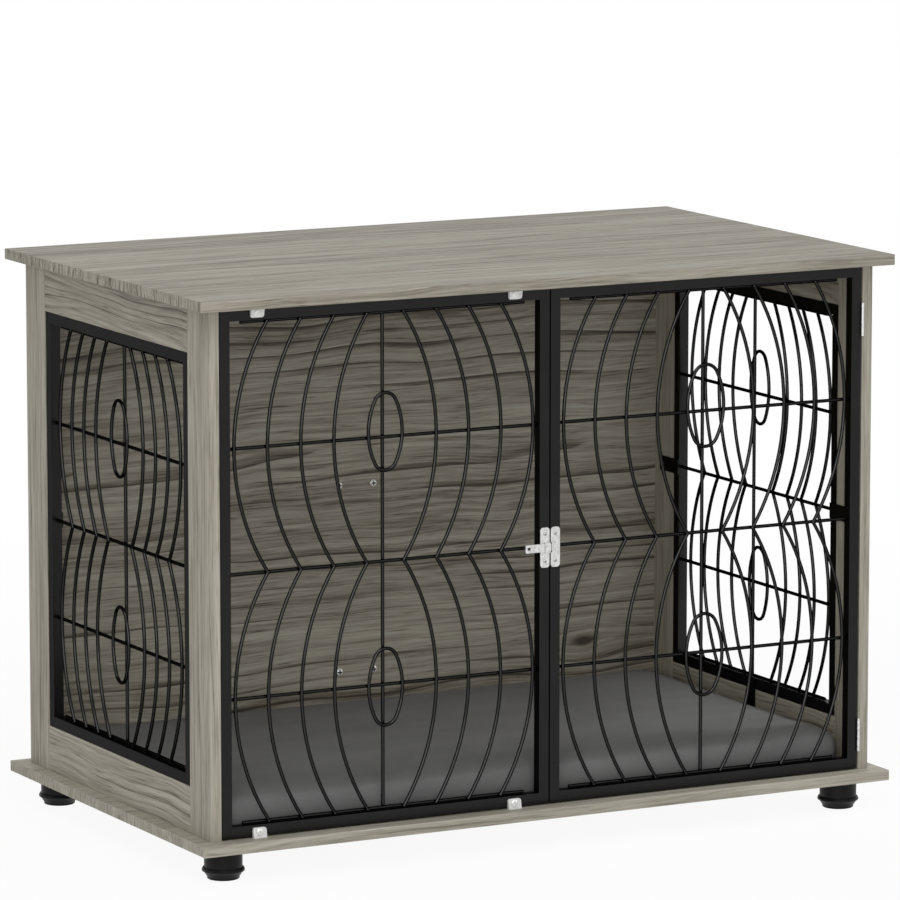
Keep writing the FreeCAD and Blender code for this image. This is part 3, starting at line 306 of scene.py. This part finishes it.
def laminate(name, along, across, pieces, seed=0.0, heart=0.0, sweep=0.06, spread=90.0, wander=0.05,
             rings=0.5, contrast=1.0, tone=0.56, knot=None):
    """Printed laminate on pieces: its grain runs along one axis, and goes on over the long edges."""
    material, tree, shader = finish(name, Specular_IOR_Level=0.35)
    coordinate = add(tree, "TexCoord").outputs
    place = add(tree, "SeparateXYZ", {0: coordinate["Object"]}).outputs
    facing = add(tree, "SeparateXYZ", {0: coordinate["Normal"]}).outputs
    through = place[({"X", "Y", "Z"} - {along, across}).pop()]
    end = calc(tree, "GREATER_THAN", calc(tree, "ABSOLUTE", facing[along]), FACE_TURN)
    edge = calc(tree, "GREATER_THAN", calc(tree, "ABSOLUTE", facing[across]), FACE_TURN)
    # On the edges the print turns over, and on the ends it is a band of short, strong grain
    short = calc(tree, "MULTIPLY_ADD", through, SHORT_GRAIN, calc(tree, "MULTIPLY", place[along], -1.0))
    run = calc(tree, "MULTIPLY_ADD", end, short, place[along])
    line = calc(tree, "MULTIPLY_ADD", edge, calc(tree, "SUBTRACT", through, place[across]), place[across])
    line = calc(tree, "MULTIPLY", line, level(tree, end, low=1.0, high=END_CROWDING))
    if knot:
        # The grain opens round a knot, and the knot itself is dark
        knot_along, knot_across, knot_size = knot
        beside = calc(tree, "SUBTRACT", place[across], knot_across)
        before = calc(tree, "SUBTRACT", place[along], knot_along)
        before = calc(tree, "MULTIPLY", before, KNOT_STRETCH)
        apart = calc(tree, "MULTIPLY_ADD", beside, beside, calc(tree, "POWER", before, 2.0))
        apart = calc(tree, "DIVIDE", calc(tree, "SQRT", apart), knot_size)
        apart = calc(tree, "MULTIPLY", apart, apart)
        close = calc(tree, "EXPONENT", calc(tree, "MULTIPLY", apart, -1.0))
        opening = calc(tree, "MULTIPLY", calc(tree, "MULTIPLY", close, beside), KNOT_OPENING)
        line = calc(tree, "SUBTRACT", line, opening)
        core = calc(tree, "EXPONENT", calc(tree, "MULTIPLY", apart, -KNOT_CORE))
        tone = calc(tree, "MULTIPLY_ADD", core, -KNOT_DARKNESS, tone)
    wood = place_effect(tree, laminate_figure, {
        "Along": run, "Across": line, "Seed": seed, "Heart": heart, "Sweep": sweep, "Spread": spread,
        "Wander": wander, "Rings": calc(tree, "MULTIPLY_ADD", end, END_RINGS, rings),
        "Contrast": calc(tree, "MULTIPLY_ADD", end, END_CONTRAST, contrast), "Tone": tone})
    cover(tree, shader, wood, relief=0.2, depth=0.0003)
    dress(material, *pieces)


laminate("base_laminate", "X", "Y", ["base_board"], seed=3.1, heart=-0.1, sweep=0.05, spread=60.0, rings=0.3,
         tone=0.60)

# Side walls: each a frame of two upright stiles and two rails of the same laminated board, butted
# and held by beech dowels. The grain runs along each member, with arched figure on the rails.
laminate("left_stile_laminate", "Z", "Y", ["left_front_stile", "left_back_stile"], seed=11.4, heart=-0.2,
         sweep=0.05, spread=70.0, rings=0.25, wander=0.03)
laminate("right_stile_laminate", "Z", "Y", ["right_front_stile", "right_back_stile"], seed=17.9, heart=0.2,
         sweep=0.05, spread=70.0, rings=0.25, wander=0.03, tone=0.60)
laminate("top_rail_laminate", "Y", "Z", ["left_top_rail", "right_top_rail"], seed=23.2, heart=0.60,
         sweep=0.08, spread=85.0, wander=0.14, rings=0.55, tone=0.52)
laminate("base_rail_laminate", "Y", "Z", ["left_base_rail", "right_base_rail"], seed=29.6, heart=0.25,
         sweep=0.08, spread=70.0, wander=0.12, rings=0.45)

beech, tree, shader = finish("dowel_beech", Roughness=0.6)
FLECKS = (900.0, 900.0, 120.0)
flecks = add(tree, "Mapping", {"Vector": own_place(tree), "Scale": FLECKS}).outputs[0]
flecks = noise(tree, flecks, scale=1.0, detail=3.0)
tree.links.new(ramp(tree, flecks, [(0.35, (0.42, 0.27, 0.14)), (0.65, (0.58, 0.40, 0.23))]),
               shader.inputs["Base Color"])
dress(beech, "board_dowels", "rail_dowels")

# Side grilles: square steel tube, mitred and welded, with bent wires welded inside it and flat tabs on
# the inner face that are screwed to the wood. All of it is charcoal to black powder coat.
UNEVEN_GLOSS = 0.16
powder_coat, coat_in, coat_out = effect("powder_coat", TWO_SHADES + [("Dullness", "Float")], SURFACE)
coat_peel = noise(powder_coat, coat_in["Place"], scale=650.0, detail=2.0)
coat_speck = noise(powder_coat, coat_in["Place"], scale=2400.0, detail=1.0)
coat_cloud = noise(powder_coat, coat_in["Place"], scale=14.0, detail=3.0)
coat_tone = weigh(powder_coat, coat_cloud, coat_speck, share=0.4)
coat_colour = between(powder_coat, coat_tone, coat_in["Dark"], coat_in["Pale"])
coat_dullness = calc(powder_coat, "MULTIPLY_ADD", coat_cloud, UNEVEN_GLOSS, coat_in["Dullness"])
give(powder_coat, coat_out, coat_colour, coat_dullness, coat_peel)


def powder_coated(name, dark, pale, dullness, rim, pieces):
    """Black coat on steel pieces: all sheen and no body colour, between two shades, fading at the rim."""
    material, tree, shader = finish(name, Metallic=1.0, Specular_Tint=(rim, rim, rim, 1.0))
    coat = place_effect(tree, powder_coat, {"Place": own_place(tree), "Dark": (*dark, 1), "Pale": (*pale, 1),
                                            "Dullness": dullness})
    cover(tree, shader, coat, relief=0.12, depth=0.0002)
    dress(material, *pieces)
    return material


SIDES = ("left", "right")
side_tubes = [f"{side}_grille_{spot}_tube" for side in SIDES for spot in ("front", "back", "top", "bottom")]
tube_coat = powder_coated("tube_coat", dark=(0.017, 0.017, 0.017), pale=(0.030, 0.030, 0.0305),
                          dullness=0.22, rim=0.5,
                          pieces=side_tubes + [f"{side}_grille_tabs" for side in SIDES])
wire_coat, tree, shader = finish("wire_coat", Specular_IOR_Level=0.0, Coat_Roughness=0.06, Coat_IOR=1.5)
coat = place_effect(tree, powder_coat, {"Place": own_place(tree), "Dark": (0.001, 0.001, 0.001, 1),
                                        "Pale": (0.004, 0.004, 0.004, 1), "Dullness": 0.3})
cover(tree, shader, coat, relief=0.05, depth=0.0002)
# The coat runs thin on the turn of the wire, and its gloss fades there
turned = add(tree, "LayerWeight", {"Blend": 0.5}).outputs["Facing"]
gloss = add(tree, "MapRange", {"Value": turned, "From Min": 0.0, "From Max": 0.24,
                               "To Min": 1.0, "To Max": 0.02})
tree.links.new(gloss.outputs[0], shader.inputs["Coat Weight"])
dress(wire_coat, *(f"{side}_grille_wires" for side in SIDES))
powder_coated("tab_screw_coat", dark=(0.030, 0.030, 0.030), pale=(0.050, 0.050, 0.050), dullness=0.18,
              rim=0.5, pieces=["grille_tab_screws"])

# Back panel: one sheet of the same laminate let into the back stiles, the grain along its width, with
# a batten behind its middle. Bright cross-headed screws go through it into the batten.
# Its print is set a little darker than the stiles' and the base's (tone 0.51), partly as painted shade of
# the crate's inside
laminate("back_laminate", "X", "Z", ["back_panel"], seed=41.7, heart=0.47, sweep=0.05, spread=42.0,
         wander=0.07, rings=0.6, contrast=1.1, tone=0.51, knot=(0.381, 0.155, 0.032))
laminate("batten_laminate", "Z", "X", ["rear_batten"], seed=53.3, heart=0.1, sweep=0.05, rings=0.3)
dress(screw_zinc, "back_panel_screws")

WELD = 0.000001


def solids_of(name):
    """The lowest and highest corner of each separate solid of a node."""
    form = bmesh.new()
    form.from_mesh(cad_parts[name].data)
    bmesh.ops.remove_doubles(form, verts=form.verts, dist=WELD)
    waiting = set(form.verts)
    boxes = []
    while waiting:
        front = [waiting.pop()]
        corners = [front[0].co, front[0].co]
        while front:
            vert = front.pop()
            corners = [[pick(corner[axis], vert.co[axis]) for axis in range(3)]
                       for pick, corner in zip((min, max), corners)]
            beside = {edge.other_vert(vert) for edge in vert.link_edges} & waiting
            waiting -= beside
            front.extend(beside)
        boxes.append(corners)
    form.free()
    return sorted(boxes)


def settle(piece):
    """Applies a piece's modifiers to its mesh."""
    shape = piece.evaluated_get(bpy.context.evaluated_depsgraph_get())
    mesh = bpy.data.meshes.new_from_object(shape)
    piece.modifiers.clear()
    piece.data = mesh


scene = bpy.context.scene


def new_piece(name, form, *materials):
    """A piece made from a bmesh, with its materials."""
    mesh = bpy.data.meshes.new(name)
    form.to_mesh(mesh)
    form.free()
    for material in materials:
        mesh.materials.append(material)
    piece = bpy.data.objects.new(name, mesh)
    scene.collection.objects.link(piece)
    return piece


HEAD_RADIUS = 0.0054
HEAD_RISE = 0.0025
SHANK_RADIUS = 0.0018
CROSS_SPAN = 0.0070
CROSS_WIDTH = 0.0020
CROSS_DEPTH = 0.0015
HEAD_SIDES = 48
# From the middle of the head over its dome to its rim: share of the head's radius, and of its rise
HEAD_OUTLINE_SHARES = [(0.3, 1.0), (0.62, 0.93), (0.85, 0.72), (0.97, 0.42), (1.0, 0.12), (0.97, 0.0)]
turned_form = bmesh.new()
cross_form = bmesh.new()
for low, high in solids_of("batten_screws"):
    middle_x, middle_z = (low[0] + high[0]) / 2, (low[2] + high[2]) / 2
    seat = low[1] + HEAD_RISE
    outline = [(radius * HEAD_RADIUS, seat - rise * HEAD_RISE) for radius, rise in HEAD_OUTLINE_SHARES]
    outline += [(SHANK_RADIUS, seat), (SHANK_RADIUS, high[1])]
    rings = [[turned_form.verts.new((middle_x + radius * math.cos(math.tau * side / HEAD_SIDES), depth,
                                     middle_z + radius * math.sin(math.tau * side / HEAD_SIDES)))
              for side in range(HEAD_SIDES)] for radius, depth in outline]
    for near, far in zip(rings, rings[1:]):
        for side in range(HEAD_SIDES):
            after = (side + 1) % HEAD_SIDES
            turned_form.faces.new((near[side], near[after], far[after], far[side])).smooth = True
    turned_form.faces.new(rings[0][::-1])
    turned_form.faces.new(rings[-1])
    for size in ((CROSS_SPAN, CROSS_WIDTH), (CROSS_WIDTH, CROSS_SPAN)):
        arm = bmesh.ops.create_cube(cross_form, size=1.0)["verts"]
        for vert in arm:
            vert.co = (middle_x + vert.co.x * size[0], low[1] + vert.co.y * 2 * CROSS_DEPTH,
                       middle_z + vert.co.z * size[1])
bmesh.ops.recalc_face_normals(turned_form, faces=turned_form.faces)
# The cross recesses get a near-black, faintly mottled material of their own: painted shade in the recesses
painted_recess_shade, tree, shader = finish("painted_recess_shade", Roughness=0.7)
recess_shade_noise = noise(tree, own_place(tree), scale=900.0)
tree.links.new(ramp(tree, recess_shade_noise, [(0.3, (0.02, 0.02, 0.02)), (0.7, (0.05, 0.05, 0.05))]),
               shader.inputs["Base Color"])
batten_screws = new_piece("batten_screw_set", turned_form, screw_zinc, painted_recess_shade)
crosses = new_piece("cross_cutter", cross_form, painted_recess_shade)
driven = batten_screws.modifiers.new("cross_recess", "BOOLEAN")
driven.object = crosses
driven.use_self = True
driven.material_mode = "TRANSFER"
settle(batten_screws)
bpy.data.objects.remove(crosses)
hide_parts("batten_screws")
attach(batten_screws, "crate")

# Top board: the same board as the base, dowelled down onto the stiles. It is also a table top, so its
# face is the one most seen, with long quiet streaks from end to end.
laminate("top_laminate", "X", "Y", ["top_board"], seed=67.5, heart=0.1, sweep=0.04, spread=55.0,
         wander=0.04, rings=0.35, contrast=0.95, tone=0.51)

# Fixed front panel: a frame of square tube with the same bent wires. White moulded clips hold it at top and
# bottom, each with one screw into the tube and a peg in a hole of the board.
TUBES = ("bottom", "right", "top", "left")
dress(tube_coat, *(f"fixed_panel_{spot}_tube" for spot in TUBES))
dress(wire_coat, "fixed_panel_wires")

clip_plastic, tree, shader = finish("clip_plastic", Specular_IOR_Level=0.5)
skin = place_effect(tree, moulded_skin, {"Place": own_place(tree), "Dark": (0.66, 0.66, 0.65, 1),
                                         "Pale": (0.86, 0.86, 0.85, 1)})
cover(tree, shader, skin, relief=0.2, depth=0.0002)
dress(clip_plastic, "panel_clips")
dress(screw_zinc, "clip_screws")

# Door: a frame like the fixed panel's, hung on two butt hinges at the right stile. The hinges are bright
# zinc-plated leaves rolled round a pin, let in by countersunk screws.
dress(tube_coat, *(f"door_{spot}_tube" for spot in TUBES))
dress(wire_coat, "door_wires")

hinge_pieces = [f"{hinge}_hinge_{piece}" for hinge in ("upper", "lower")
                for piece in ("post_leaf", "door_leaf", "pin")]
bright_zinc = zinc_plated("bright_zinc", metallic=1.0, dark=(0.46, 0.46, 0.455), pale=(0.86, 0.86, 0.85),
                          pieces=hinge_pieces + ["hinge_post_screws", "hinge_door_screws"])

# Slide latch: pressed zinc-plated plates with a bridge each, one on the fixed panel and one on the door,
# and a flat bolt with a hole in its pull tab that slides through both.
dress(bright_zinc, "latch_plate", "latch_keeper", "latch_bolt")
zinc_plated("latch_screw_zinc", metallic=1.0, dark=(0.30, 0.30, 0.295), pale=(0.55, 0.55, 0.54),
            pieces=["latch_plate_screws", "latch_keeper_screws"])

# Floor cushion: a thin loose pad in grey short-pile cloth over soft filling. Its edges are round, its sides
# draw in between the corners, and it lies flat on the base board.
CUSHION_VOXEL = 0.006
CUSHION_SWELL = 0.004
CUSHION_WELD = 0.00001
CLOTH_STEPS = 20
CLOTH_PRESSURE = 4.0
CLOTH_STIFFNESS = 20.0
CLOTH_BENDING = 1.0
low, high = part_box("cushion")
middle = (low + high) / 2
form = bmesh.new()
form.from_mesh(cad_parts["cushion"].data)
bmesh.ops.remove_doubles(form, verts=form.verts, dist=CUSHION_WELD)
# The pad swells in the simulation, so it starts a little smaller
for vert in form.verts:
    for axis in (0, 1):
        half = (high[axis] - low[axis]) / 2
        vert.co[axis] = middle[axis] + (vert.co[axis] - middle[axis]) * (half - CUSHION_SWELL) / half
    vert.co.z = low.z + (vert.co.z - low.z) * (high.z - low.z - CUSHION_SWELL) / (high.z - low.z)
cushion = new_piece("floor_cushion", form)
remesh = cushion.modifiers.new("even_cloth", "REMESH")
remesh.mode = "VOXEL"
remesh.voxel_size = CUSHION_VOXEL
settle(cushion)
before = [vert.co.copy() for vert in cushion.data.vertices]
cloth = cushion.modifiers.new("filled_cloth", "CLOTH")
cloth.settings.use_pressure = True
cloth.settings.uniform_pressure_force = CLOTH_PRESSURE
cloth.settings.effector_weights.gravity = 0.0
cloth.settings.tension_stiffness = CLOTH_STIFFNESS
cloth.settings.compression_stiffness = CLOTH_STIFFNESS
cloth.settings.bending_stiffness = CLOTH_BENDING
for step in range(1, CLOTH_STEPS + 1):
    scene.frame_set(step)
settle(cushion)
for vert, start in zip(cushion.data.vertices, before):
    moved = vert.co - start
    if moved.length > CUSHION_SWELL:
        vert.co = start + moved * (CUSHION_SWELL / moved.length)
    vert.co.z = max(vert.co.z, low.z)
scene.frame_set(1)
smooth = cushion.modifiers.new("soft_cloth", "SUBSURF")
smooth.levels = smooth.render_levels = 1
settle(cushion)
cushion.data.polygons.foreach_set("use_smooth", [True] * len(cushion.data.polygons))

pile_cloth, tree, shader = finish("pile_cloth", Specular_IOR_Level=0.1)
NAP = (6.0, 14.0, 10.0)
cloth_place = own_place(tree)
tuft = noise(tree, cloth_place, scale=520.0, detail=3.0, roughness=0.65)
nap = add(tree, "Mapping", {"Vector": cloth_place, "Scale": NAP}).outputs[0]
nap = noise(tree, nap, scale=1.0, detail=3.0)
pile_tone = weigh(tree, tuft, nap, share=0.6)
tree.links.new(ramp(tree, pile_tone, [(0.3, (0.138, 0.138, 0.137)), (0.7, (0.188, 0.188, 0.186))]),
               shader.inputs["Base Color"])
tree.links.new(level(tree, tuft, low=0.8, high=0.95), shader.inputs["Roughness"])
bump(tree, shader, tuft, strength=0.35, distance=0.0006)
cushion.data.materials.append(pile_cloth)
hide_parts("cushion")
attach(cushion, "crate")

# Studio: a pale floor that keeps the crate's shadow, a broad soft lamp high at the front left, a weaker one
# lower down on the same side, a small one through the right grille, white surroundings, and a long lens.
FLOOR_REACH = 40.0
floor_mesh = bpy.data.meshes.new("studio_floor")
floor_corners = [(-1, -1), (1, -1), (1, 1), (-1, 1)]
floor_mesh.from_pydata([(x * FLOOR_REACH, y * FLOOR_REACH, 0) for x, y in floor_corners], [], [(0, 1, 2, 3)])
floor = bpy.data.objects.new("studio_floor", floor_mesh)
scene.collection.objects.link(floor)


def seen_rays(tree):
    """1 for rays from the camera, from gloss and through clear things, and 0 for the rest."""
    rays = add(tree, "LightPath").outputs
    mirrored = calc(tree, "MAXIMUM", rays["Is Glossy Ray"], rays["Is Transmission Ray"])
    return calc(tree, "MAXIMUM", rays["Is Camera Ray"], mirrored)


# Close to the crate the floor is a little less white, so that the shadow shows
paper, tree, shader = finish("floor_paper", Base_Color=(0.9, 0.9, 0.9, 1), Roughness=0.9)
glow = add(tree, "Emission", {"Color": (1, 1, 1, 1), "Strength": 1.0})
apart = add(tree, "VectorMath", {0: own_place(tree)}, operation="LENGTH").outputs["Value"]
far = add(tree, "MapRange", {"Value": apart, "From Min": 0.8, "From Max": 2.6,
                             "To Min": 0.93, "To Max": 1.0})
blend = add(tree, "MixShader", {"Fac": calc(tree, "MULTIPLY", seen_rays(tree), far.outputs[0])})
tree.links.new(shader.outputs[0], blend.inputs[1])
tree.links.new(glow.outputs[0], blend.inputs[2])
tree.links.new(blend.outputs[0], tree.nodes["Material Output"].inputs["Surface"])
floor_mesh.materials.append(paper)

SKY_LIGHT = 0.55
world = bpy.data.worlds.new("studio")
scene.world = world
world.use_nodes = True
tree = world.node_tree
sky = tree.nodes["Background"]
sky.inputs["Color"].default_value = (1, 1, 1, 1)
strength = level(tree, seen_rays(tree), low=SKY_LIGHT, high=1.0)
tree.links.new(strength, sky.inputs["Strength"])


def lamp(name, place, aim, size, power, spread=180.0):
    """A square soft lamp that looks at a point; its spread is in degrees."""
    light = bpy.data.lights.new(name, "AREA")
    light.size = size
    light.energy = power
    light.spread = math.radians(spread)
    holder = bpy.data.objects.new(name, light)
    holder.location = place
    holder.rotation_euler = (Vector(aim) - Vector(place)).to_track_quat("-Z", "Y").to_euler()
    scene.collection.objects.link(holder)


lamp("high_lamp", place=(-1.5, -2.8, 4.2), aim=(0, 0, 0.4), size=2.5, power=66.0)
lamp("front_lamp", place=(-2.2, -4.4, 1.3), aim=(0, 0, 0.4), size=2.4, power=40.0)
lamp("side_lamp", place=(1.5, -0.3, 0.95), aim=(0.25, -0.12, 0.1), size=0.3, power=0.6, spread=45.0)

CAMERA_PLACE = (-4.06996, -7.71364, 1.90418)
CAMERA_TILT = 80.9389
CAMERA_TURN = -27.8347
camera = bpy.data.cameras.new("camera")
camera.sensor_width = 36.0
camera.lens = 249.25
camera.clip_end = 200.0
viewer = bpy.data.objects.new("camera", camera)
viewer.location = CAMERA_PLACE
viewer.rotation_euler = (math.radians(CAMERA_TILT), 0, math.radians(CAMERA_TURN))
scene.collection.objects.link(viewer)
scene.camera = viewer
scene.view_settings.view_transform = "Standard"
